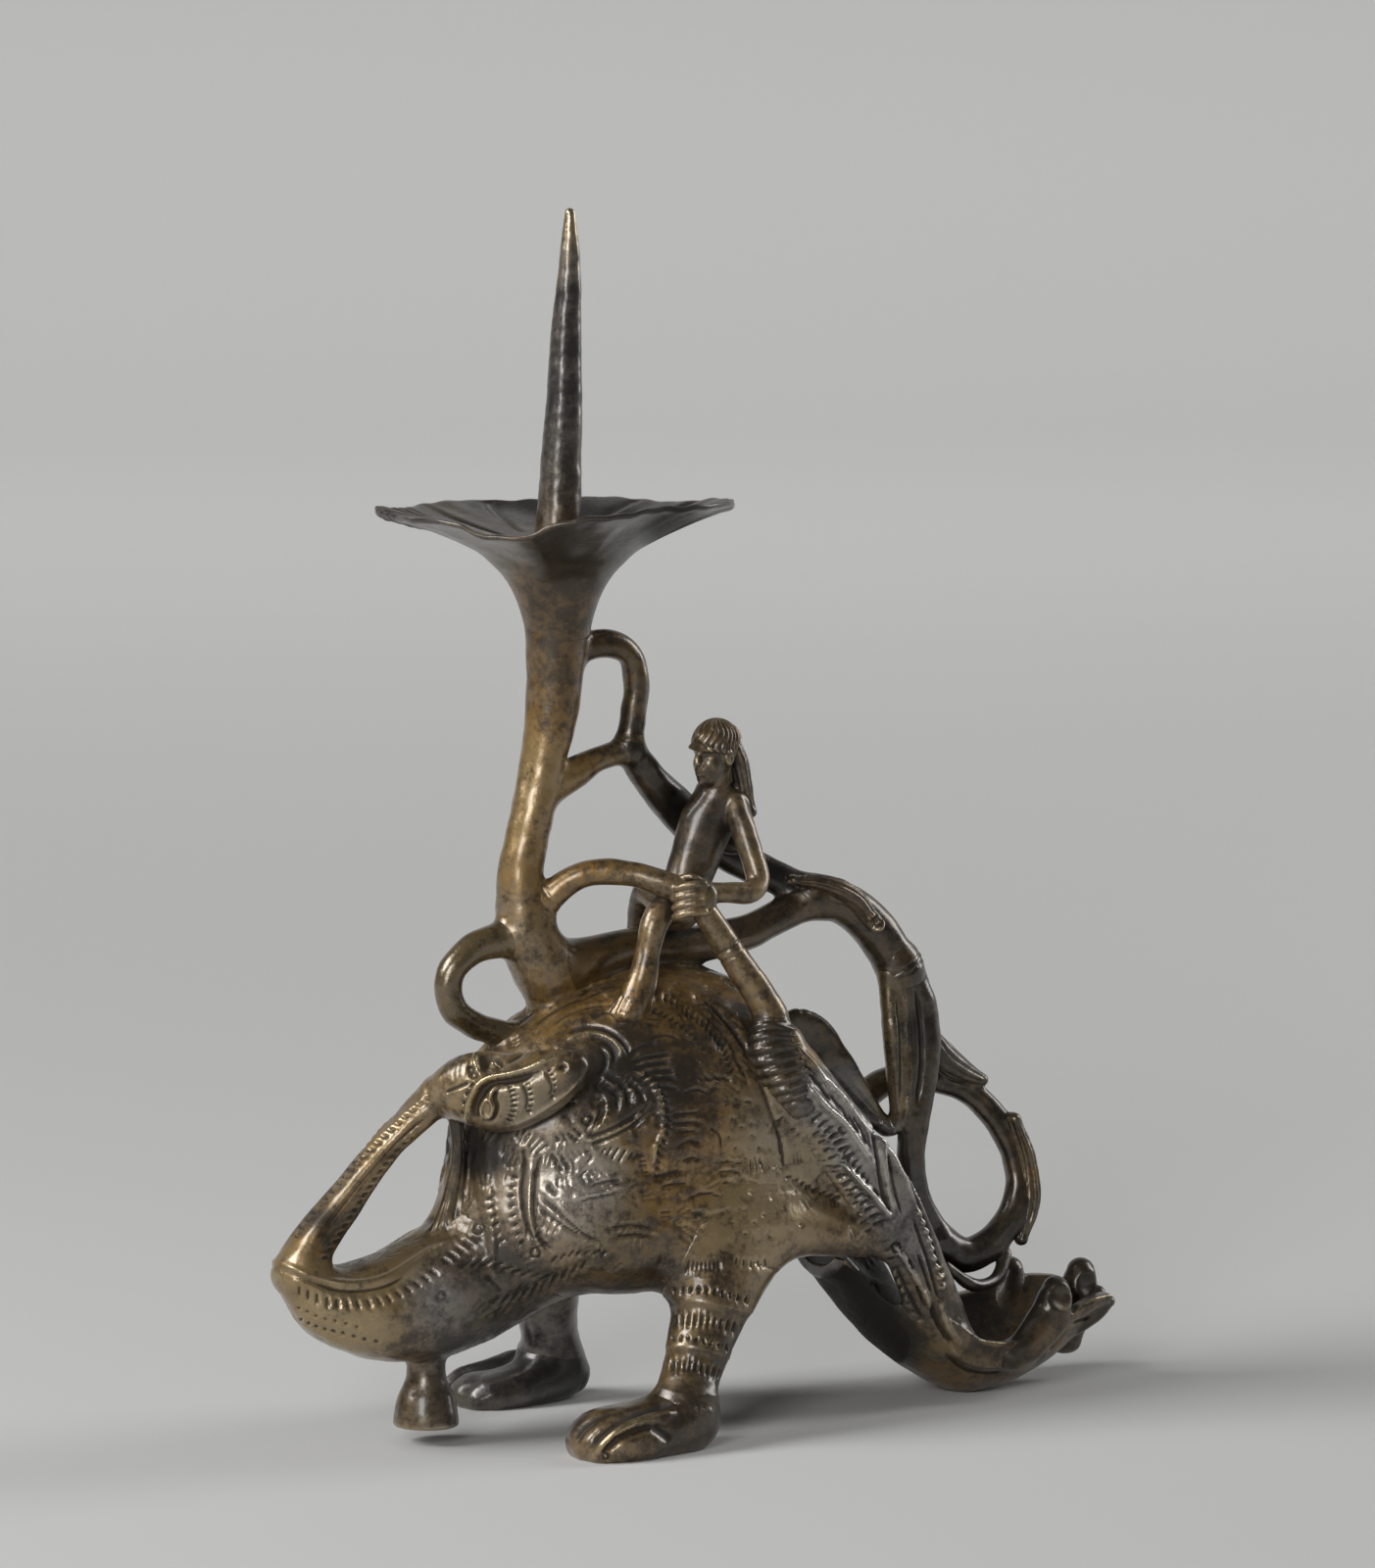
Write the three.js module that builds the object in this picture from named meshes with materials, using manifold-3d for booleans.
// A cast bronze pricket candlestick in the shape of a dragon. Millimetres, +Z up.
// The dragon faces -X, its near side is -Y, and it stands on two feet and the scoop of its wings.
import * as THREE from 'three';
import { mergeVertices } from 'three/addons/utils/BufferGeometryUtils.js';
import Module from 'manifold-3d';

const wasm = await Module();
wasm.setup();

// Clearance between neighbouring castings.
const seam = 0.3;

// Heights are measured from a base line this far below the ground that the candlestick stands on.
const ground = 2.8;

// The dragon's trunk, measured from its axis, which runs along X.
const trunkAxisHeight = 51.5;
const trunkHalfHeight = 25.5;
const trunkHalfWidth = 20;
const chestReach = 42;
const rumpReach = 34.5;
const flankSeamX = 5;
const shellWall = 3.2;
const bellyMouthHalfWidth = 10.5;
const bellyMouthWall = 4;

// The neck loops forward and down from the chest, and its strap climbs back to the head.
const neckTipReach = 69.6;
const neckTipHeight = 31.5;
const neckBulbHalfHeight = 10;
const neckBulbHalfWidth = 8.8;
const neckBulbReach = 48;
const neckBulbHeight = 26.2;
const strapHalfThickness = 2.1;
const strapHalfWidth = 3.6;
const headBackReach = 46.5;
const headBackHeight = 59.4;
const headHalfHeight = 6.3;
const headHalfWidth = 5.6;
const noseReach = 30;
const noseHeight = 65.2;
const noseOut = 19;
const strutHalfWidth = 1.1;
const strutHalfThickness = 1.4;

// The peg under the neck ends a little above the ground.
const pegReach = 47.3;
const pegClearance = 2.8;
const pegWaistRadius = 3.1;
const pegFlareRadius = 5;

// Legs and feet.
const legHalfWidth = 5.1;
const hipHalfWidth = 10;
const nearHipX = -1.5;
const nearAnkleX = -12.8;
const nearFootOut = 23;
const farHipX = -17;
const farAnkleX = -10;
const farFootOut = 24;
const ankleHeight = 7.6;
const footHalfWidth = 6.8;
const footHeight = 9.4;
const soleCut = 1.1;
const toeReach = 18;
const heelReach = 5;

// Wings, their ribbed collars, and the scoop that they run into.
const wingOut = 17.6;
const wingRootX = 9.5;
const wingRootRise = 15;
const wingRootHeight = trunkAxisHeight + wingRootRise;
const wingHalfWidth = 5.2;
const wingHalfThickness = 2.3;
const collarHalfWidth = 4.4;
const collarHalfThickness = 3;
const scoopContactX = 53;
const scoopHalfWidth = 12;
const scoopWall = 2.4;
const scoopLipReach = 21;
const scoopLipHeight = 14.5;
const curlRadius = 3.1;
const backLeafHalfHeight = 5;
const backLeafHalfThickness = 1.9;
const backLeafRise = 8.5;

// Stem, drip pan and pricket.
const stemFootX = -24.5;
const stemHalfWidth = 3.6;
const stemKneeRadius = 4.9;
const stemTopX = -23.4;
const stemTopHeight = 132.4;
const panFunnelHeight = 19;
const panRadius = 28.6;
const panRimWave = 1;
const panPetals = 7;
const panWall = 1.5;
const panWellDepth = 7;
const spikeRadius = 3.6;
const spikeHeight = 52.9;
const spikeTipRadius = 0.7;

// The tail grows like a plant. Its shoots leave the stem and meet at the fork.
const shootHalfWidth = 2.1;
const loopHalfWidth = 2.1;
const branchHalfWidth = 3.1;
const forkX = 24.5;
const forkHeight = 86;
const tailHalfWidth = 3.5;
const tailKnotX = 39;
const tailKnotHeight = 73.8;
const tailKnotRadius = 4.4;
const tailKnotLength = 1.9;
const tailFootX = 46.5;
const tailFootHeight = 27.5;
const ringHalfWidth = 2.3;
const ringRightX = 62.2;

// The rider sits on the lower branch and holds a staff.
const seatX = -3.6;
const seatHeight = 86.5;
const torsoHalfWidth = 4;
const torsoHalfDepth = 3;
const torsoLength = 17.8;
const shoulderHeight = seatHeight + torsoLength;
const headRadius = 4;
const headTall = 11.4;
const limbRadius = 1.9;
const riderOut = 3;
const fistOut = 12.8;
const fistX = -5.8;
const fistRise = 3.7;
const fistHeight = seatHeight + fistRise;
const fistRadius = 2.9;
const staffRadius = 2.3;

// Colours of the worn bronze.
const bronze = 0x6b5a3c;
const worn = 0x8a7444;
const dark = 0x3a3528;

// Which ends of a bar are cut flat, as bits.
const flatStart = 1;
const flatEnd = 2;

const group = new THREE.Group();

// A value between four neighbours, on a smooth line through the middle two.
function smooth(a, b, c, d, t) {
  const slopeB = (c - a) / 2;
  const slopeC = (d - b) / 2;
  const t2 = t * t;
  const t3 = t2 * t;
  const fromB = b * (2 * t3 - 3 * t2 + 1) + slopeB * (t3 - 2 * t2 + t);
  const fromC = c * (3 * t2 - 2 * t3) + slopeC * (t3 - t2);
  return fromB + fromC;
}

// A closed body from rings of equal count, with a point at each end.
function skin(rings, startPoint, endPoint) {
  const sides = rings[0].length;
  const vertices = [startPoint, ...rings.flat(), endPoint];
  const last = vertices.length - 1;
  const faces = [];
  for (let side = 0; side < sides; side += 1) {
    const next = (side + 1) % sides;
    faces.push(0, 1 + next, 1 + side);
    for (let ring = 0; ring + 1 < rings.length; ring += 1) {
      const low = 1 + ring * sides;
      const high = low + sides;
      faces.push(low + side, low + next, high + next, low + side, high + next, high + side);
    }
    const top = 1 + (rings.length - 1) * sides;
    faces.push(last, top + side, top + next);
  }
  return closed(vertices, faces);
}

// A solid from points and faces, turned so that its faces point out.
function closed(vertices, faces) {
  let volume = 0;
  for (let i = 0; i < faces.length; i += 3) {
    const [a, b, c] = [vertices[faces[i]], vertices[faces[i + 1]], vertices[faces[i + 2]]];
    volume += a.dot(b.clone().cross(c));
  }
  const triVerts = new Uint32Array(faces);
  if (volume < 0) {
    for (let i = 0; i < triVerts.length; i += 3) {
      const second = triVerts[i + 1];
      triVerts[i + 1] = triVerts[i + 2];
      triVerts[i + 2] = second;
    }
  }
  const vertProperties = new Float32Array(vertices.flatMap((v) => [v.x, v.y, v.z]));
  return new wasm.Manifold(new wasm.Mesh({ numProp: 3, vertProperties, triVerts }));
}

// A rounded bar along a smooth line through its stations, each [x, y, z, half height, half width].
// Half height lies across the bar in its own upright plane, half width along the side direction.
function bar(stations, { sides = 8, spacing = 4, grow = 0, side = [0, 1, 0], flat = 0, square = 2 } = {}) {
  const points = stations.map(([x, y, z]) => new THREE.Vector3(x, y, z));
  const path = new THREE.CatmullRomCurve3(points, false, 'centripetal');
  const sideways = new THREE.Vector3(...side);
  const pieces = points.length - 1;
  const value = (index, column) => stations[Math.min(Math.max(index, 0), pieces)][column];
  const at = (piece, t) => {
    const u = Math.min((piece + t) / pieces, 1);
    const centre = path.getPoint(u);
    const along = path.getTangent(u);
    const across = sideways.clone().addScaledVector(along, -sideways.dot(along)).normalize();
    const up = across.clone().cross(along);
    const [high, wide] = [3, 4].map((column) => {
      const [a, b, c, d] = [-1, 0, 1, 2].map((step) => value(piece + step, column));
      return smooth(a, b, c, d, t) + grow;
    });
    return { centre, along, across, up, high, wide };
  };
  const ring = (frame, shift, scale) => {
    const out = [];
    for (let k = 0; k < sides; k += 1) {
      const angle = (2 * Math.PI * k) / sides;
      const [c, s] = [Math.cos(angle), Math.sin(angle)];
      const wide = Math.sign(c) * Math.abs(c) ** (2 / square) * frame.wide * scale;
      const high = Math.sign(s) * Math.abs(s) ** (2 / square) * frame.high * scale;
      out.push(frame.centre.clone().addScaledVector(frame.along, shift)
        .addScaledVector(frame.across, wide).addScaledVector(frame.up, high));
    }
    return out;
  };
  const frames = [];
  for (let piece = 0; piece < pieces; piece += 1) {
    const steps = Math.max(1, Math.round(points[piece].distanceTo(points[piece + 1]) / spacing));
    for (let step = 0; step < steps; step += 1) {
      frames.push(at(piece, step / steps));
    }
  }
  frames.push(at(pieces - 1, 1));
  const first = frames[0];
  const final = frames[frames.length - 1];
  const domes = (frame) => Math.min(frame.high, frame.wide);
  const rings = frames.map((frame) => ring(frame, 0, 1));
  let start = first.centre.clone().addScaledVector(first.along, -grow);
  let end = final.centre.clone().addScaledVector(final.along, grow);
  if (flat & flatStart) {
    rings[0] = ring(first, -grow, 1);
  } else {
    rings.unshift(ring(first, -0.6 * domes(first), 0.75));
    start = first.centre.clone().addScaledVector(first.along, -0.9 * domes(first));
  }
  if (flat & flatEnd) {
    rings[rings.length - 1] = ring(final, grow, 1);
  } else {
    rings.push(ring(final, 0.6 * domes(final), 0.75));
    end = final.centre.clone().addScaledVector(final.along, 0.9 * domes(final));
  }
  return skin(rings, start, end);
}

// Stations drawn for one place of their two ends, moved so that the ends meet the points given.
// The shift of each end fades out along the way.
function pinned(stations, start, end) {
  const last = stations.length - 1;
  return stations.map(([x, y, z, high, wide], index) => {
    const t = index / last;
    const shift = [0, 1, 2].map((axis) => {
      const atStart = start ? start[axis] - stations[0][axis] : 0;
      const atEnd = end ? end[axis] - stations[last][axis] : 0;
      return atStart * (1 - t) + atEnd * t;
    });
    return [x + shift[0], y + shift[1], z + shift[2], high, wide];
  });
}

// A solid from one of three's closed geometries.
function solidOf(geometry) {
  geometry.deleteAttribute('normal');
  geometry.deleteAttribute('uv');
  const merged = mergeVertices(geometry, 1e-4);
  const vertProperties = new Float32Array(merged.attributes.position.array);
  const triVerts = new Uint32Array(merged.index.array);
  return new wasm.Manifold(new wasm.Mesh({ numProp: 3, vertProperties, triVerts }));
}

// A block between two corners, used to trim.
function block(low, high) {
  const size = low.map((value, axis) => high[axis] - value);
  const middle = low.map((value, axis) => (high[axis] + value) / 2);
  return solidOf(new THREE.BoxGeometry(...size).translate(...middle));
}

const farAway = 400;
const belowGround = block([-farAway, -farAway, -farAway], [farAway, farAway, ground]);

// A piece cut back where its neighbours stand. Crumbs that a cut leaves loose are dropped.
function trimmed(solid, ...neighbours) {
  let rest = solid;
  for (const neighbour of neighbours) {
    rest = rest.subtract(neighbour);
  }
  const parts = rest.decompose();
  parts.sort((a, b) => b.volume() - a.volume());
  return parts[0];
}

function add(name, colour, solid) {
  const mesh = solid.getMesh();
  const geometry = new THREE.BufferGeometry();
  geometry.setAttribute('position', new THREE.BufferAttribute(new Float32Array(mesh.vertProperties), 3));
  geometry.setIndex(new THREE.BufferAttribute(new Uint32Array(mesh.triVerts), 1));
  geometry.computeVertexNormals();
  const material = new THREE.MeshStandardMaterial({ color: colour, roughness: 0.35, metalness: 1 });
  const piece = new THREE.Mesh(geometry, material);
  piece.name = name;
  group.add(piece);
}

// Mirrored in the dragon's middle plane.
const mirrored = (solid) => solid.mirror([0, 1, 0]);

// The trunk's egg, as shares of its reach, half height and half width: [along, rise, high, wide].
const trunkShape = [
  [-0.985, -0.1, 0.15, 0.16], [-0.95, -0.07, 0.33, 0.36], [-0.86, -0.02, 0.56, 0.56],
  [-0.71, 0, 0.74, 0.74], [-0.5, 0, 0.91, 0.9], [-0.25, 0, 1, 1],
  [0, 0, 0.99, 1], [0.3, -0.04, 0.87, 0.93], [0.58, -0.2, 0.66, 0.82],
  [0.81, -0.38, 0.46, 0.72], [0.95, -0.5, 0.29, 0.6], [1, -0.54, 0.16, 0.42],
];

function trunkStation(row, grow) {
  const [along, rise, high, wide] = row;
  return [
    along * (along < 0 ? chestReach : rumpReach), 0, trunkAxisHeight + rise * trunkHalfHeight,
    high * trunkHalfHeight + grow, wide * trunkHalfWidth + grow,
  ];
}

function trunkForm(grow = 0, sides = 22) {
  const rows = trunkShape.map((row) => trunkStation(row, grow));
  const first = rows[0];
  const final = rows[rows.length - 1];
  const rings = rows.map(([x, , z, high, wide]) => {
    const ring = [];
    for (let k = 0; k < sides; k += 1) {
      const angle = (2 * Math.PI * k) / sides;
      ring.push(new THREE.Vector3(x, wide * Math.cos(angle), z + high * Math.sin(angle)));
    }
    return ring;
  });
  const start = new THREE.Vector3(first[0] - 0.8 - grow, 0, first[2]);
  const end = new THREE.Vector3(final[0] + 0.8 + grow, 0, final[2]);
  return skin(rings, start, end);
}

// Height of the trunk's surface over a place on it.
function surfaceHeight(x, y) {
  const rows = trunkShape.map((row) => trunkStation(row, 0));
  const index = Math.max(1, rows.findIndex((row) => row[0] >= x));
  const [low, high] = [rows[index - 1], rows[index]];
  const t = (x - low[0]) / (high[0] - low[0]);
  const [z, tall, wide] = [2, 3, 4].map((column) => low[column] + t * (high[column] - low[column]));
  return z + tall * Math.sqrt(1 - (y / wide) ** 2);
}

const backHeight = (x) => surfaceHeight(x, 0);

const frontOfSeam = block([-farAway, -farAway, -farAway], [flankSeamX - seam / 2, farAway, farAway]);
const behindSeam = block([flankSeamX + seam / 2, -farAway, -farAway], [farAway, farAway, farAway]);

// The rump is a shell. Its hollow opens downwards between the legs and the wings.
function rumpHollow() {
  const inside = trunkForm(-shellWall).intersect(
    block([flankSeamX + bellyMouthWall, -farAway, -farAway], [farAway, farAway, farAway]),
  );
  const mouth = block(
    [flankSeamX + bellyMouthWall, -bellyMouthHalfWidth, 0],
    [rumpReach - bellyMouthWall, bellyMouthHalfWidth, trunkAxisHeight - trunkHalfHeight * 0.5],
  );
  return inside.add(mouth);
}

const trunk = trunkForm();
const trunkGap = trunkForm(seam);
add('dragon_chest', bronze, trunk.intersect(frontOfSeam));
add('dragon_rump', bronze, trimmed(trunk.intersect(behindSeam), rumpHollow()));

// Neck, from inside the chest forward to its tip.
function neckForm(grow = 0) {
  const [high, wide] = [neckBulbHalfHeight, neckBulbHalfWidth];
  const rows = [
    [-29, 0, 36.5, high * 1.22, wide * 1.3], [-36, 0, 31.2, high * 1.1, wide * 1.2],
    [-neckBulbReach, 0, neckBulbHeight, high, wide], [-57, 0, 25.4, high * 0.8, wide * 0.9],
    [-64.4, 0, 27, high * 0.6, wide * 0.72], [-neckTipReach, 0, neckTipHeight, high * 0.4, wide * 0.52],
  ];
  return bar(rows, { sides: 14, spacing: 5, grow, square: 2.2 });
}

function strapForm(grow = 0) {
  const [high, wide] = [strapHalfThickness, strapHalfWidth];
  const rows = [
    [-69.6, 0, 32.5, high * 1.7, wide * 1.25], [-67.4, 0, 36.4, high * 1.55, wide * 1.15],
    [-62.6, 0, 42, high * 1.35, wide], [-54.4, -0.6, 51.4, high, wide * 0.9],
    [-46.5, -3, 59.4, high * 1.25, wide],
  ];
  const start = [-neckTipReach, 0, neckTipHeight + 1];
  return bar(pinned(rows, start, [-headBackReach, -3, headBackHeight]), { sides: 10, grow, square: 2.4 });
}

function headForm(grow = 0) {
  const [high, wide] = [headHalfHeight, headHalfWidth];
  const rows = [
    [-46.5, -3.5, 59.4, high * 0.5, wide * 0.6], [-43, -7.5, 61, high * 0.86, wide * 0.9],
    [-39, -11, 61, high, wide], [-35.4, -14, 61.6, high * 0.92, wide * 0.86],
    [-32.4, -16.6, 63.2, high * 0.68, wide * 0.66], [-30, -19, 65.2, high * 0.36, wide * 0.42],
  ];
  const nose = [-noseReach, -noseOut, noseHeight];
  return bar(pinned(rows, [-headBackReach, -3.5, headBackHeight], nose), { sides: 14, grow });
}

function strutForm(grow = 0) {
  const [high, wide] = [strutHalfThickness, strutHalfWidth];
  const rows = [
    [-44.5, -5, 58, high, wide], [-43.4, -4, 51, high * 0.85, wide], [-43.6, -3, 45, high, wide],
    [-45.5, -2, 36, high * 1.5, wide],
  ];
  const start = [-headBackReach + 2, -5, headBackHeight - 2];
  const end = [-neckBulbReach + 2.5, -2, neckBulbHeight + neckBulbHalfHeight];
  return bar(pinned(rows, start, end), { grow });
}

function pegForm(grow = 0) {
  const flare = pegFlareRadius + grow;
  const waist = pegWaistRadius + grow;
  const base = ground + pegClearance;
  const rows = [
    [-pegReach, 0, base, flare, flare], [-pegReach, 0, base + 1.4, flare * 0.96, flare * 0.96],
    [-pegReach, 0, base + 4.6, waist * 1.15, waist * 1.15], [-pegReach, 0, base + 9, waist, waist],
    [-pegReach, 0, neckBulbHeight, waist * 1.15, waist * 1.15],
  ];
  return bar(rows, { sides: 14, flat: flatStart });
}

const neckGap = neckForm(seam);
add('dragon_neck', bronze, trimmed(neckForm(), trunkGap));
add('neck_strap', bronze, trimmed(strapForm(), neckGap));
add('dragon_head', worn, trimmed(headForm(), trunkGap, strapForm(seam)));
add('chin_strut', worn, trimmed(strutForm(), trunkGap, neckGap, headForm(seam), strapForm(seam)));
add('neck_peg', bronze, trimmed(pegForm(), neckGap));

// Legs run from the hip, inside the trunk, to the ankle. Feet stand flat on the ground.
function legForm(hipX, ankleX, side, out, grow = 0) {
  const [leg, hip] = [legHalfWidth, hipHalfWidth];
  const hipOut = trunkHalfWidth * 0.78;
  const hipHeight = trunkAxisHeight - trunkHalfHeight * 0.72;
  const at = (t) => [
    hipX + t * (ankleX - hipX), side * (hipOut + t * (out - hipOut)),
    hipHeight + t * (ground + ankleHeight - hipHeight),
  ];
  const rows = [
    [...at(0), hip, hip * 0.7], [...at(0.22), hip * 0.8, hip * 0.66],
    [...at(0.48), leg * 1.15, leg * 1.1],
    [...at(0.8), leg * 0.94, leg * 0.92], [...at(1), leg, leg],
  ];
  return bar(rows, { sides: 12, spacing: 5, grow, flat: flatEnd });
}

function footForm(ankleX, side, out, grow = 0) {
  const [high, wide] = [footHeight / 2, footHalfWidth];
  const middle = ground + footHeight / 2 - soleCut;
  const rows = [
    [ankleX + heelReach - 3, side * out, middle + 1, high * 0.85, wide * 0.62],
    [ankleX, side * out, middle + 0.8, high * 1.08, wide * 0.82],
    [ankleX - toeReach * 0.4, side * (out + 0.6), middle, high, wide],
    [ankleX - toeReach * 0.78, side * (out + 1), middle - 0.4, high * 0.9, wide * 0.95],
    [ankleX - toeReach + 2, side * (out + 1), middle - 0.7, high * 0.62, wide * 0.7],
  ];
  return bar(rows, { sides: 12, spacing: 5, grow, square: 2.5 });
}

// Two toes with a groove between them.
function toeForm(ankleX, side, out, share, grow = 0) {
  const y = side * (out + 1) + share * footHalfWidth * 0.52;
  const radius = footHalfWidth * 0.46;
  const rows = [
    [ankleX - toeReach * 0.55, y, ground + radius * 0.85, radius, radius],
    [ankleX - toeReach * 0.85, y, ground + radius * 0.8, radius * 1.05, radius],
    [ankleX - toeReach + 1, y, ground + radius * 0.68, radius * 0.85, radius * 0.85],
  ];
  return bar(rows, { grow });
}

function wholeFoot(ankleX, side, out, grow = 0) {
  const sole = block([-farAway, -farAway, grow > 0 ? -farAway : ground], [farAway, farAway, farAway]);
  return footForm(ankleX, side, out, grow)
    .add(toeForm(ankleX, side, out, -1, grow))
    .add(toeForm(ankleX, side, out, 1, grow))
    .intersect(sole);
}

for (const [name, hipX, ankleX, side, out] of [
  ['near', nearHipX, nearAnkleX, -1, nearFootOut], ['far', farHipX, farAnkleX, 1, farFootOut],
]) {
  const leg = legForm(hipX, ankleX, side, out);
  add(`${name}_foot`, worn, wholeFoot(ankleX, side, out));
  add(`${name}_leg`, bronze, trimmed(leg, trunkGap, wholeFoot(ankleX, side, out, seam)));
}

// Each wing is a strap from its collar down to the scoop.
const scoopEndX = scoopContactX + scoopLipReach;

function wingForm(grow = 0) {
  const [high, wide] = [wingHalfWidth, wingHalfThickness];
  const rows = [
    [9.5, -17.2, 66.5, high * 0.7, wide], [12, -17.8, 61.5, high, wide * 1.1],
    [16, -17.8, 55, high, wide * 1.1], [21, -17, 47.5, high, wide * 1.1], [27.5, -15.6, 39, high, wide],
    [33.2, -13.8, 30.5, high * 0.95, wide], [38, -12, 22, high * 0.9, wide],
    [43.2, -10.6, 13.5, high * 0.75, wide],
  ];
  const end = [scoopContactX - 9.8, -scoopHalfWidth + 1.4, 13.5];
  return bar(pinned(rows, [wingRootX, -wingOut, wingRootHeight], end), { grow, sides: 10, spacing: 7 });
}

function collarForm(grow = 0) {
  const [high, wide] = [collarHalfWidth, collarHalfThickness];
  const [x, y, z] = [wingRootX - 3, -wingOut + 1.5, wingRootHeight + 3];
  const rows = [
    [x, y, z, high * 0.7, wide * 0.8], [x, y - 1.5, z - 4, high, wide],
    [x + 1.6, y - 2.4, z - 9, high * 0.92, wide], [x + 4, y - 2.6, z - 13.5, high * 0.55, wide * 0.7],
  ];
  return bar(rows, { grow, sides: 12 });
}

// The scoop, a spoon whose bottom touches the ground: [x, bottom, half width, near rim, far rim].
const scoopShape = [
  [-29.5, 25, 0.8, 1, 1.5], [-22, 15, 0.95, 4, 5], [-13.5, 7.6, 1.05, 8, 10],
  [-5, ground - 0.3, 1.05, 9.5, 12.5],
  [2, ground - 0.4, 1.04, 8.5, 12.5], [9, ground + 1.9, 1, 8.5, 11.5], [15.5, 8.8, 0.96, 8.5, 9.5],
  [scoopLipReach, scoopLipHeight, 0.8, 3, 3],
];

function scoopForm(grow = 0) {
  const steps = 6;
  const wall = scoopWall + 2 * grow;
  const [first, last] = [scoopShape[0], scoopShape[scoopShape.length - 1]];
  const shifted = (row, shift) => [row[0] + shift, ...row.slice(1)];
  const ends = grow > 0 ? [[shifted(first, -grow)], [shifted(last, grow)]] : [[], []];
  const rings = [...ends[0], ...scoopShape, ...ends[1]].map(([along, bottom, share, nearRim, farRim]) => {
    const x = scoopContactX + along;
    const half = share * scoopHalfWidth;
    const line = (inset) => {
      const out = [];
      for (let k = 0; k <= steps; k += 1) {
        const t = (2 * k) / steps - 1;
        const rim = t < 0 ? nearRim : farRim;
        const lift = Math.abs(t) ** 2.6;
        const y = t * (half + grow - inset * Math.abs(t) ** 0.5);
        out.push(new THREE.Vector3(x, y, bottom - grow + rim * lift + inset * (1 - 0.75 * lift)));
      }
      return out;
    };
    const outer = line(0);
    const inner = line(wall).reverse();
    return [...outer, ...inner];
  });
  return troughSkin(rings);
}

// A closed body from rings that fold over a hollow. Each end is closed across the wall.
function troughSkin(rings) {
  const count = rings[0].length;
  const half = count / 2;
  const vertices = rings.flat();
  const faces = [];
  for (let ring = 0; ring + 1 < rings.length; ring += 1) {
    for (let k = 0; k < count; k += 1) {
      const next = (k + 1) % count;
      const [a, b] = [ring * count + k, ring * count + next];
      const [c, d] = [a + count, b + count];
      faces.push(a, b, d, a, d, c);
    }
  }
  for (const [ring, turn] of [[0, 1], [rings.length - 1, 0]]) {
    for (let k = 0; k + 1 < half; k += 1) {
      const [a, b] = [ring * count + k, ring * count + k + 1];
      const [c, d] = [ring * count + count - 1 - k, ring * count + count - 2 - k];
      faces.push(...(turn ? [a, d, b, a, c, d] : [a, b, d, a, d, c]));
    }
  }
  return closed(vertices, faces);
}

const wingGap = wingForm(seam);
const nearCollar = trimmed(collarForm(), trunkGap);
const nearWing = trimmed(wingForm(), trunkGap, collarForm(seam));
add('near_wing_collar', worn, nearCollar);
add('far_wing_collar', worn, mirrored(nearCollar));
add('near_wing', bronze, nearWing);
add('far_wing', bronze, mirrored(nearWing));

// The scoop's rolled leaf tips: [along, y, height, lean along, lean out].
const curls = {
  near_scoop_curl: [9.6, -9.6, 18.6, -2.5, 1.4],
  far_scoop_curl: [12.5, 10.5, 18, 1.5, 1.5],
  rear_scoop_curl: [18.6, 2.6, 19.2, 2.6, 0.5],
};

function curlForm([along, y, height, leanX, leanY], grow = 0) {
  const x = scoopContactX + along;
  const r = curlRadius;
  const rows = [
    [x - leanX, y - leanY * Math.sign(y) * 0.6, height - 9.5, r * 1.2, r * 0.8],
    [x - leanX * 0.4, y, height - 5, r * 1.15, r], [x, y + leanY * 0.3, height - 1.5, r, r],
    [x + leanX * 0.4, y, height + 1.6, r * 0.75, r * 0.75],
  ];
  return bar(rows, { grow, side: [0, 1, 0] });
}

const scoopSolid = trimmed(
  scoopForm(), wingGap, mirrored(wingGap), ...Object.values(curls).map((curl) => curlForm(curl, seam)),
  belowGround,
);
add('wing_scoop', bronze, scoopSolid);
for (const [name, curl] of Object.entries(curls)) {
  add(name, worn, trimmed(curlForm(curl), wingGap, mirrored(wingGap)));
}

// Two short teeth at the end of the scoop.
const nearToothY = -6;
const farToothY = -0.8;

function toothForm(y, grow = 0) {
  const rows = [
    [scoopEndX - 5, y, scoopLipHeight - 1.2, 1.3, 2],
    [scoopEndX - 1, y * 1.1, scoopLipHeight + 1.6, 1.2, 1.6],
    [scoopEndX + 1.2, y * 1.15, scoopLipHeight + 2.6, 0.8, 0.9],
  ];
  return bar(rows, { grow, sides: 8 });
}

const scoopGap = scoopForm(seam);
const curlGaps = Object.values(curls).map((curl) => curlForm(curl, seam));
add('scoop_tooth_near', worn, trimmed(toothForm(nearToothY), scoopGap, ...curlGaps));
add('scoop_tooth_far', worn, trimmed(toothForm(farToothY), scoopGap, ...curlGaps));

// The leaf that stands on the rump between the wings.
function backLeafForm(grow = 0) {
  const root = trunkAxisHeight + backLeafRise;
  const [high, wide] = [backLeafHalfHeight, backLeafHalfThickness];
  const rows = [
    [15, 0, root, high * 0.8, wide], [20.5, 0, root + 3.3, high, wide], [26.5, 0, root - 1.5, high * 1.08, wide],
    [32, 0, root - 7.5, high * 0.7, wide], [36.2, 0, root - 12.4, high * 0.34, wide],
  ];
  return bar(rows, { grow, sides: 10, spacing: 6 });
}

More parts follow.
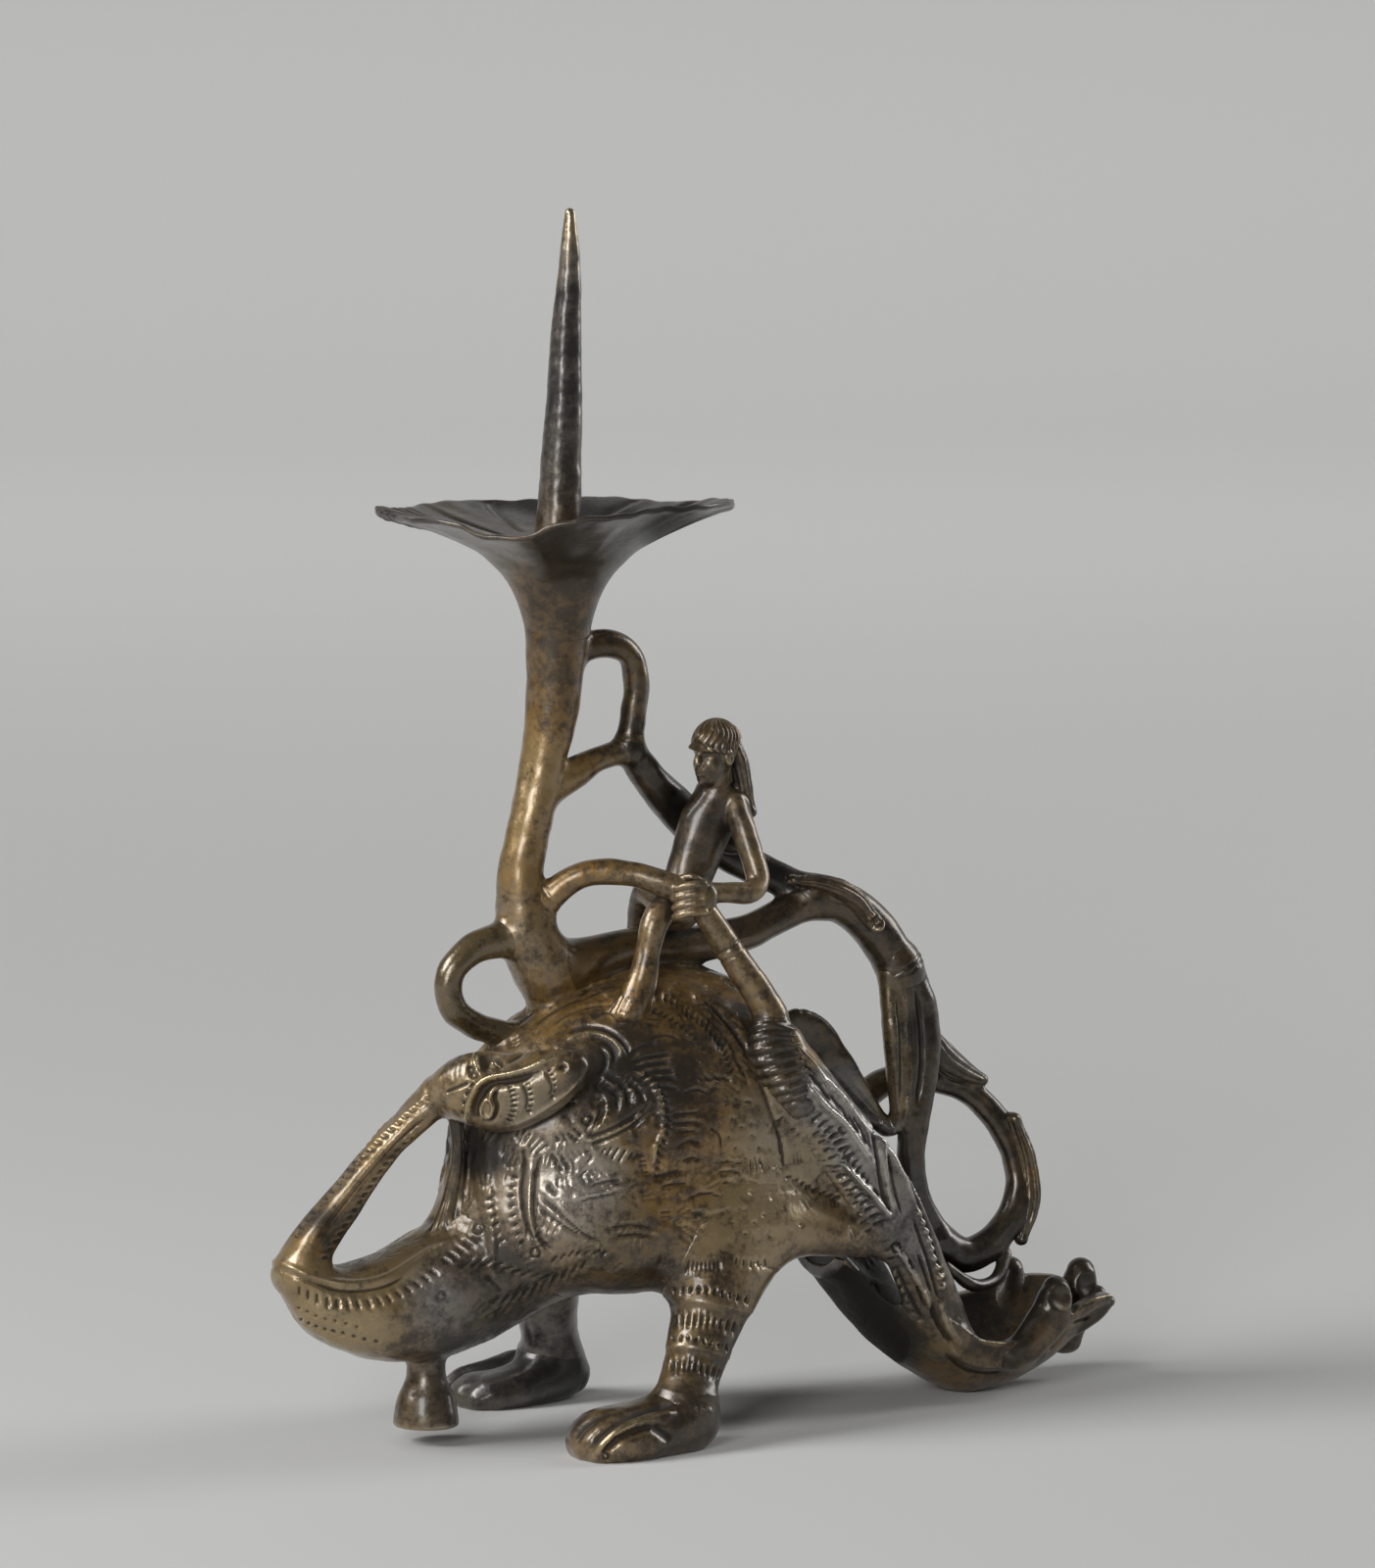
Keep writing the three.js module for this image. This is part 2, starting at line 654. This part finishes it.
// Stem.
function stemForm(grow = 0) {
  const [wide, knee] = [stemHalfWidth, stemKneeRadius];
  const rows = [
    [-24.5, 0, 71, knee * 0.6, knee * 0.6], [-26, 0, 76.5, knee * 0.94, knee * 0.9],
    [-28.8, 0, 83.5, knee, knee * 0.94], [-30.4, 0, 89.6, wide * 1.08, wide * 1.08],
    [-30.2, 0, 95.2, wide, wide],
    [-28.4, 0, 103, wide * 0.97, wide * 0.97], [-26.6, 0, 110.8, wide, wide],
    [-25, 0, 118.5, wide * 1.12, wide * 1.12], [-24.4, 0, 124.8, wide * 1.17, wide * 1.17],
    [-24, 0, 132.4, wide * 1.32, wide * 1.32],
  ];
  const foot = [stemFootX, 0, backHeight(stemFootX) - 2];
  const top = [stemTopX, 0, stemTopHeight];
  return bar(pinned(rows, foot, top), { grow, sides: 12, spacing: 5, flat: flatEnd });
}

const aboveStem = block([-farAway, -farAway, stemTopHeight], [farAway, farAway, farAway]);

// The drip pan is a trumpet that opens into a wavy dish: [radius, height above the stem, wave].
function panForm() {
  const top = stemTopHeight + seam;
  const reach = panFunnelHeight;
  const neck = stemHalfWidth * 1.32;
  const under = [
    [neck, 0, 0], [neck * 1.12, reach * 0.12, 0], [neck * 1.4, reach * 0.3, 0],
    [neck * 1.92, reach * 0.51, 0],
    [panRadius * 0.46, reach * 0.69, 0.1], [panRadius * 0.68, reach * 0.83, 0.4],
    [panRadius * 0.9, reach * 0.92, 0.8], [panRadius, reach, 1],
  ];
  const over = [
    [panRadius - 0.3, reach + panWall * 0.5, 1], [panRadius * 0.88, reach * 0.92 + panWall, 0.8],
    [panRadius * 0.66, reach * 0.83 + panWall, 0.4], [panRadius * 0.44, reach * 0.7 + panWall, 0.1],
    [neck * 1.3, reach + panWall - panWellDepth, 0],
  ];
  const sides = 5 * panPetals;
  const rings = [...under, ...over].map(([radius, height, wave]) => {
    const ring = [];
    for (let k = 0; k < sides; k += 1) {
      const angle = (2 * Math.PI * k) / sides;
      const petal = Math.cos(panPetals * angle);
      const r = radius + wave * panRimWave * 0.8 * petal;
      const z = top + height - wave * panRimWave * 0.6 * petal;
      ring.push(new THREE.Vector3(stemTopX + r * Math.cos(angle), r * Math.sin(angle), z));
    }
    return ring;
  });
  const floor = new THREE.Vector3(stemTopX, 0, top + reach + panWall - panWellDepth);
  return skin(rings, new THREE.Vector3(stemTopX, 0, top), floor);
}

function spikeForm() {
  const foot = stemTopHeight + seam + panFunnelHeight + panWall - panWellDepth + seam;
  const rows = [
    [stemTopX, 0, foot, spikeRadius, spikeRadius * 0.94],
    [stemTopX + 0.8, 0, foot + spikeHeight * 0.28, spikeRadius * 0.86, spikeRadius * 0.82],
    [stemTopX + 1.6, 0, foot + spikeHeight * 0.62, spikeRadius * 0.68, spikeRadius * 0.64],
    [stemTopX + 2.2, 0, foot + spikeHeight * 0.86, spikeRadius * 0.44, spikeRadius * 0.42],
    [stemTopX + 2.3, 0, foot + spikeHeight - spikeTipRadius, spikeTipRadius, spikeTipRadius],
  ];
  return bar(rows, { sides: 10, spacing: 6, flat: flatStart });
}

const stemGap = stemForm(seam);
add('stem', bronze, trimmed(stemForm(), trunkGap, aboveStem));
add('drip_pan', bronze, panForm());
add('pricket_spike', worn, spikeForm());

// Shoots of the tail round the stem.
function frontRingForm() {
  const r = shootHalfWidth;
  const rows = [
    [-30, 0, 83, r * 1.5, r * 1.4], [-34.4, 0, 82.8, r * 1.4, r * 1.3],
    [-38.8, 0, 81.6, r * 1.2, r * 1.15],
    [-42.3, 0, 78.7, r * 1.1, r * 1.1], [-43.2, 0, 75.2, r * 1.05, r * 1.05],
    [-41.8, 0, 71.4, r * 1.05, r * 1.05],
    [-38.1, 0, 68.8, r, r], [-33.9, 0, 67.4, r, r], [-29, 0, 66, r, r],
  ];
  return bar(pinned(rows, [stemFootX - 5.5, 0, backHeight(stemFootX) + 10], [-29, 0, backHeight(-29) - 4]));
}

function reinForm(grow = 0) {
  const r = shootHalfWidth;
  const rows = [
    [-29, 0, 85.5, r * 1.5, r * 1.4], [-25.8, -2.4, 90, r * 1.15, r * 1.15], [-21.9, -4.2, 93, r, r],
    [-18, -6, 93.7, r, r], [-13.7, -8, 93.1, r, r], [-10, -10.4, 91.8, r, r],
    [-5.8, -12.8, 90.2, r * 0.9, r * 0.9],
  ];
  const start = [stemFootX - 4.5, 0, backHeight(stemFootX) + 12.5];
  return bar(pinned(rows, start, [fistX, -fistOut, fistHeight]), { grow });
}

function upperLoopForm(grow = 0) {
  const r = loopHalfWidth;
  const rows = [
    [-24, 0, 126.4, r * 1.1, r * 1.1], [-18.3, 0, 129.3, r * 1.08, r * 1.1],
    [-14.1, 0, 129.3, r * 1.08, r * 1.1],
    [-10.8, 0, 127.4, r, r * 1.05], [-9.5, 0, 122.4, r, r], [-9.9, 0, 118.5, r, r],
    [-10.6, 0, 112, r, r],
  ];
  return bar(pinned(rows, [stemTopX, 0, stemTopHeight - 6], null), { grow });
}

function cuffForm(grow = 0) {
  const r = loopHalfWidth;
  const rows = [
    [-27, 0, 105.5, r * 1.4, r * 1.3], [-22.4, 0, 108.2, r * 1.32, r * 1.25],
    [-19.4, 0, 109.6, r * 1.2, r * 1.15],
    [-16.4, 0, 110.9, r * 0.95, r * 0.95], [-10.9, 0, 112.2, r * 0.92, r * 0.95],
  ];
  return bar(rows, { grow });
}

function upperBranchForm(grow = 0) {
  const r = branchHalfWidth;
  const rows = [
    [-10.6, 0, 112.6, r * 0.8, r * 0.75], [-6.5, 0.8, 107.2, r * 0.9, r * 0.8],
    [-0.5, 3.2, 102, r * 1.08, r * 0.85],
    [6, 4.8, 96.3, r * 1.08, r * 0.85], [12.6, 4, 92, r * 0.92, r * 0.85],
    [18.6, 2, 88.9, r * 0.87, r * 0.85],
    [24.5, 0, 86, r * 0.9, r * 0.9],
  ];
  return bar(pinned(rows, null, [forkX, 0, forkHeight]), { grow });
}

function lowerBranchForm(grow = 0) {
  const r = branchHalfWidth;
  const rows = [
    [-26.5, 0, 79, r * 1.45, r * 1.3], [-22, 0, 78.4, r * 1.42, r * 1.25],
    [-17, 0, 78.9, r * 1.22, r * 1.15],
    [-11, 0, 80.2, r, r], [-0.3, 0, 80, r * 0.98, r], [10.5, 0, 81.2, r * 0.92, r * 0.95],
    [17.7, 0, 83.8, r * 0.87, r * 0.9], [24.5, 0, 86, r * 0.9, r * 0.9],
  ];
  const start = [stemFootX - 2, 0, backHeight(stemFootX) + 5.8];
  return bar(pinned(rows, start, [forkX, 0, forkHeight]), { grow });
}

// Tail, from the fork over the arch and down to the scoop, with a knot on it.
function tailArchForm(grow = 0) {
  const r = tailHalfWidth;
  const rows = [
    [23, 0, 86.2, r * 0.9, r * 0.9], [28.9, 0, 84.6, r, r], [34, 0, 80.6, r * 1.04, r],
    [39, 0, 73.8, r * 1.04, r],
  ];
  const start = [forkX - 1.5, 0, forkHeight + 0.2];
  return bar(pinned(rows, start, [tailKnotX, 0, tailKnotHeight]), { grow, flat: flatEnd });
}

function tailKnotForm(grow = 0) {
  const lean = new THREE.Vector3(0.55, 0, -0.83);
  const centre = new THREE.Vector3(tailKnotX, 0, tailKnotHeight);
  const half = tailKnotLength / 2;
  const row = (t, scale) => [
    centre.x + lean.x * t, 0, centre.z + lean.z * t, tailKnotRadius * scale, tailKnotRadius * scale,
  ];
  const rows = [row(-half, 0.92), row(0, 1), row(half, 0.92)];
  return bar(rows, { grow, sides: 14, flat: flatStart + flatEnd });
}

function tailTrunkForm(grow = 0) {
  const r = tailHalfWidth;
  const rows = [
    [39, 0, 73.8, r * 1.04, r], [42.6, -0.6, 66.5, r * 0.87, r * 0.86],
    [43.2, -1.4, 58.5, r * 0.74, r * 0.76],
    [41.9, -1.6, 50.5, r * 0.66, r * 0.7], [40.6, -1.4, 42.5, r * 0.62, r * 0.68],
    [42.2, -0.8, 34.9, r * 0.66, r * 0.7], [46.5, 0, 27.5, r * 0.8, r * 0.8],
  ];
  const [start, end] = [[tailKnotX, 0, tailKnotHeight], [tailFootX, 0, tailFootHeight]];
  return bar(pinned(rows, start, end), { grow, flat: flatStart });
}

// The ring at the back passes behind the trunk of the tail.
function tailRingForm(grow = 0) {
  const r = ringHalfWidth;
  const right = ringRightX;
  const rows = [
    [46.5, 0, 27.5, r * 1.25, r * 1.2], [51.6, 0, 24.9, r * 1.25, r * 1.2],
    [57, 0, 27, r * 1.12, r * 1.1],
    [right - 0.5, 0.8, 33.1, r, r], [right, 2, 39.4, r * 0.92, r * 0.95],
    [right - 3.3, 3.4, 46.9, r * 0.95, r * 0.95],
    [53.8, 4.4, 51.7, r * 0.95, r * 0.95], [46.2, 5.2, 54.3, r, r], [38.9, 5, 53.8, r, r],
    [33, 4, 50.4, r * 1.05, r], [28, 3, 46, r * 1.05, r],
  ];
  const start = [tailFootX, 0, tailFootHeight];
  return bar(pinned(rows, start, null), { grow });
}

function innerLimbForm(grow = 0) {
  const r = shootHalfWidth;
  const rows = [
    [36.6, -1, 72.5, r * 0.85, r * 0.8], [36.9, -1.6, 66, r * 0.9, r * 0.85],
    [37.3, -2, 59, r * 0.9, r * 0.85],
    [37.4, -2, 52.6, r * 0.88, r * 0.85], [36.8, -1, 47.8, r * 0.85, r * 0.85],
  ];
  const start = [tailKnotX - 2.4, -1, tailKnotHeight - 1.3];
  return bar(pinned(rows, start, null), { grow });
}

// Leaves and small shoots on the tail.
const leaves = {
  arch_leaf: [
    [19, -1.6, 91.2, 0.9, 1.6], [24, -2.8, 90, 1.3, 2.4], [29.5, -3.6, 87.4, 1.4, 2.4],
    [34.6, -4.2, 82.4, 1, 1.5],
  ],
  ring_bud: [
    [45.8, 0.4, 62, 1.4, 1.4], [49.4, 1.4, 58.2, 1.7, 1.6],
    [53.4, 2.6, 55.6, 1.3, 1.4], [57, 3.4, 53.4, 0.8, 1],
  ],
  ring_leaf: [
    [62.8, 1.6, 45.6, 1, 1.6], [65, 1.4, 39.4, 1.2, 2.2],
    [65, 0.6, 33, 1.3, 2.2], [62.4, 0, 26.6, 0.9, 1.3],
  ],
  scoop_tendril: [
    [44.5, -6.4, 24.6, 0.9, 0.9], [50, -5.4, 21, 1, 1], [55.6, -3, 21.2, 1, 1],
    [58.8, -0.8, 24.6, 1, 1],
  ],
};

const knotGap = tailKnotForm(seam);
const archGap = tailArchForm(seam);
const trunkOfTailGap = tailTrunkForm(seam);
const lowerGap = lowerBranchForm(seam);
const upperGap = upperBranchForm(seam);
add('front_ring_shoot', dark, trimmed(frontRingForm(), stemGap, trunkGap));
add('lower_branch', bronze, trimmed(lowerBranchForm(), stemGap, trunkGap, archGap));
add('upper_branch', dark, trimmed(upperBranchForm(), archGap, lowerGap));
add('upper_cuff', bronze, trimmed(cuffForm(), stemGap, upperGap));
add('upper_loop', dark, trimmed(upperLoopForm(), stemGap, upperGap, cuffForm(seam)));
add('tail_arch', dark, trimmed(tailArchForm(), knotGap));
add('tail_knot', bronze, tailKnotForm());
add('tail_trunk', dark, trimmed(tailTrunkForm(), knotGap, wingGap, mirrored(wingGap)));
const ringCutters = [trunkOfTailGap, wingGap, mirrored(wingGap), trunkGap, scoopGap];
add('tail_ring', dark, trimmed(tailRingForm(), ...ringCutters));
const ringGap = tailRingForm(seam);
const limbCutters = [knotGap, trunkOfTailGap, archGap];
add('inner_limb', bronze, trimmed(innerLimbForm(), ...limbCutters));
const leafCutters = [trunkGap, innerLimbForm(seam), trunkOfTailGap, ringGap, collarForm(seam)];
add('back_leaf', dark, trimmed(backLeafForm(), ...leafCutters));
const shootCutters = [archGap, upperGap, lowerGap, trunkOfTailGap, ringGap, wingGap, scoopGap, ...curlGaps];
for (const [name, rows] of Object.entries(leaves)) {
  add(name, worn, trimmed(bar(rows, { sides: 8 }), ...shootCutters));
}

// Rider.
function torsoForm(grow = 0) {
  const [high, wide] = [torsoHalfWidth, torsoHalfDepth];
  const top = [4.4, -riderOut, shoulderHeight];
  const rows = [
    [-3.6, -3, 86.5, high, wide * 1.05], [-1.2, -3, 91.3, high * 0.84, wide * 0.92],
    [0.9, -3, 95.4, high * 0.95, wide * 0.96], [2.8, -3, 99.8, high * 1.04, wide],
    [4.4, -3, 104.3, high * 0.86, wide * 0.9],
  ];
  return bar(pinned(rows, [seatX, -riderOut, seatHeight], top), { grow, sides: 12 });
}

const riderHeadBase = shoulderHeight + 1.2;

function riderHeadForm(grow = 0) {
  const half = headTall / 2;
  const [x, y] = [2.8, -riderOut - 1.2];
  const rows = [
    [x - 0.2, y - 0.2, riderHeadBase + half * 0.3, headRadius * 0.62, headRadius * 0.66],
    [x - 0.1, y, riderHeadBase + half * 0.7, headRadius * 0.9, headRadius * 0.92],
    [x, y, riderHeadBase + half * 1.15, headRadius, headRadius],
    [x + 0.2, y, riderHeadBase + half * 1.6, headRadius * 0.82, headRadius * 0.85],
  ];
  return bar(rows, { grow, sides: 12, spacing: 2 });
}

function hairForm(grow = 0) {
  const x = 2.8 + headRadius;
  const y = -riderOut - 1;
  const rows = [
    [x - 0.6, y, riderHeadBase + headTall * 0.62, 1.3, 2.6],
    [x + 0.6, y, riderHeadBase + headTall * 0.34, 1.4, 2.6],
    [x + 1.6, y - 0.4, riderHeadBase - 0.4, 1.3, 2.2], [x + 2.4, y - 1, riderHeadBase - 3.6, 0.9, 1.5],
  ];
  return bar(rows, { grow });
}

function nearArmForm(grow = 0) {
  const r = limbRadius;
  const rows = [
    [5.6, -5.6, 103.2, r * 1.15, r * 1.2], [6, -9, 97.6, r * 1.04, r * 1.04], [6.6, -11.4, 91.2, r, r],
    [5, -12.4, 89.8, r * 0.95, r * 0.95], [0.8, -12.8, 89.9, r * 0.88, r * 0.9],
    [-4, -12.8, 90.2, r * 0.95, r],
  ];
  const start = [4.4 + torsoHalfWidth * 0.3, -riderOut - torsoHalfDepth * 0.85, shoulderHeight - 1.1];
  return bar(pinned(rows, start, [fistX + 1.8, -fistOut, fistHeight]), { grow });
}

function farArmForm(grow = 0) {
  const r = limbRadius;
  const rows = [
    [3, -1.2, 103, r * 1.1, r * 1.05], [3.2, 1.6, 100.6, r, r], [5.4, 2.4, 97.4, r * 0.92, r * 0.92],
    [8.2, 0.4, 95.6, r * 0.9, r * 0.9], [10.4, 0.2, 96, r, r],
  ];
  const start = [3, -riderOut + torsoHalfDepth * 0.6, shoulderHeight - 1.3];
  return bar(pinned(rows, start, null), { grow });
}

function fistForm(grow = 0) {
  const r = fistRadius;
  const [x, y, z] = [fistX, -fistOut, fistHeight];
  const rows = [
    [x + 1.4, y, z, r * 0.85, r * 0.8], [x - 0.2, y, z, r, r * 0.92],
    [x - 1.6, y, z - 0.2, r * 0.8, r * 0.85],
  ];
  return bar(rows, { grow, spacing: 1.5 });
}

function staffForm(grow = 0) {
  const r = staffRadius;
  const rows = [
    [-5.8, -12.8, 90.2, r * 0.85, r * 0.85], [-0.3, -13.6, 81.8, r, r],
    [4.4, -15, 74.4, r * 1.12, r * 1.12],
    [6.6, -16, 70.4, r * 1.18, r * 1.1],
  ];
  const end = [wingRootX - 2.9, -wingOut + 1.6, wingRootHeight + 3.9];
  return bar(pinned(rows, [fistX, -fistOut, fistHeight], end), { grow });
}

// A leg of the rider: the knee is bent over the branch and the foot rests on the dragon's back.
function riderLegForm(rows, foot, grow = 0) {
  const start = [seatX - 0.4, rows[0][1], seatHeight + 0.4];
  const shoe = foot[2] - rows[rows.length - 1][2];
  const drawn = rows.map(([x, y, z, high, wide], index) => {
    const lift = index < 3 ? 0 : shoe * (index / rows.length);
    return [x, y, z + lift, high, wide];
  });
  return bar(pinned(drawn, start, foot), { grow });
}

const nearLegRows = [
  [-4, -5, 86.9, 2.7, 2.5], [-8.2, -8.4, 87.8, 2.4, 2.3], [-11, -9.8, 86, 2.4, 2.2],
  [-13.4, -10, 79.4, 1.8, 1.8],
  [-15, -10, 74.2, 1.8, 1.9], [-18.4, -10, 71.5, 1.5, 2.2],
];
const farLegRows = [
  [-4, 0, 86.9, 2.5, 2.4], [-4.8, 5.2, 88, 2.1, 2], [-4.6, 7.8, 85, 2, 1.9],
  [-4.8, 8.8, 79.6, 1.7, 1.7],
  [-5.6, 9.2, 75.4, 1.7, 1.8], [-9, 9.6, 74, 1.4, 2],
];

// Where the rider's feet rest on the back.
const shoeLift = 0.6;
const [nearShoeX, nearShoeY] = [-18.4, -10];
const [farShoeX, farShoeY] = [-9, 9.6];
const nearFootRest = [nearShoeX, nearShoeY, surfaceHeight(nearShoeX, nearShoeY) + shoeLift];
const farFootRest = [farShoeX, farShoeY, surfaceHeight(farShoeX, farShoeY) + shoeLift];
const seatCutters = [lowerGap, upperGap];
add('rider_torso', bronze, trimmed(torsoForm(), ...seatCutters));
add('rider_head', worn, trimmed(riderHeadForm(), torsoForm(seam), upperGap));
add('rider_hair', worn, trimmed(hairForm(), riderHeadForm(seam), torsoForm(seam), upperGap));
add('rider_fist', worn, trimmed(fistForm(), ...seatCutters));
const reach = [torsoForm(seam), fistForm(seam), hairForm(seam), staffForm(seam), ...seatCutters];
add('rider_near_arm', worn, trimmed(nearArmForm(), ...reach));
const reinCutters = [stemGap, fistForm(seam), lowerGap, torsoForm(seam)];
add('rein_shoot', worn, trimmed(reinForm(), ...reinCutters));
add('rider_far_arm', bronze, trimmed(farArmForm(), reinForm(seam), ...reach));
const collarCutters = [collarForm(seam), wingGap, trunkGap];
add('staff', worn, trimmed(staffForm(), fistForm(seam), ...collarCutters));
const legCutters = [torsoForm(seam), trunkGap, fistForm(seam), reinForm(seam), ...seatCutters];
add('rider_near_leg', worn, trimmed(riderLegForm(nearLegRows, nearFootRest), ...legCutters));
add('rider_far_leg', bronze, trimmed(riderLegForm(farLegRows, farFootRest), ...legCutters));

// The origin is under the middle of the whole candlestick, on the ground.
const box = new THREE.Box3().setFromObject(group);
const middle = box.getCenter(new THREE.Vector3());
group.position.set(-middle.x, -middle.y, -ground);

export default group;
